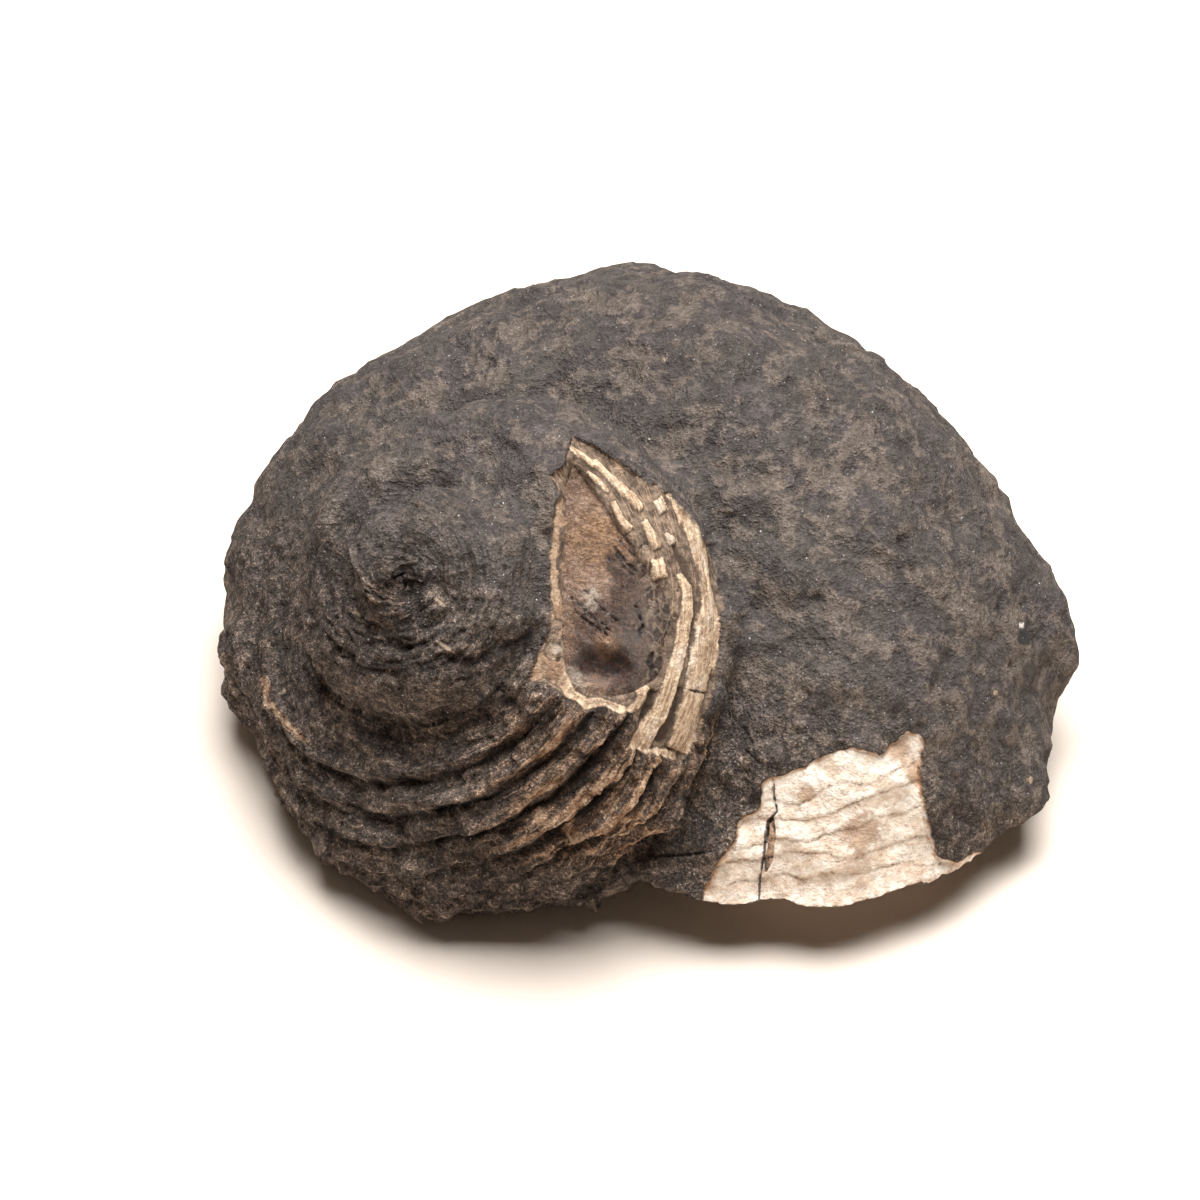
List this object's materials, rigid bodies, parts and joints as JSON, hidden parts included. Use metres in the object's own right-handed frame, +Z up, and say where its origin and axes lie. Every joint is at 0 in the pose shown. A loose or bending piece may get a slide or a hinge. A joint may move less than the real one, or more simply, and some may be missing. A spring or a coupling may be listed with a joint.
{
  "type": "fossil sea snail shell",
  "caption": "Fossil sea snail shell with a low spire, a wide last whorl, spiral cords and a broken window that shows brown crystal, lying on its mouth.",
  "frame": {"origin": "centre of the fossil's box, in the plane that it rests on", "axes": "+Z up from the surface that the fossil lies on; +X along its length, from the spire's side to the mouth's lip; -Y towards the side with the cords and the white patch"},
  "size_m": [0.0326, 0.0269, 0.0162],
  "materials": {
    "crusted_shell": "matte dark grey-brown crust with tan mottling, cream shell edges round the window and a chalky white patch beside the mouth",
    "brown_calcite": "glossy smoky brown crystal that light passes into"
  },
  "bodies": {
    "root": {"fossil_shell": "crusted_shell", "calcite_fill": "brown_calcite"}
  },
  "joints": []
}
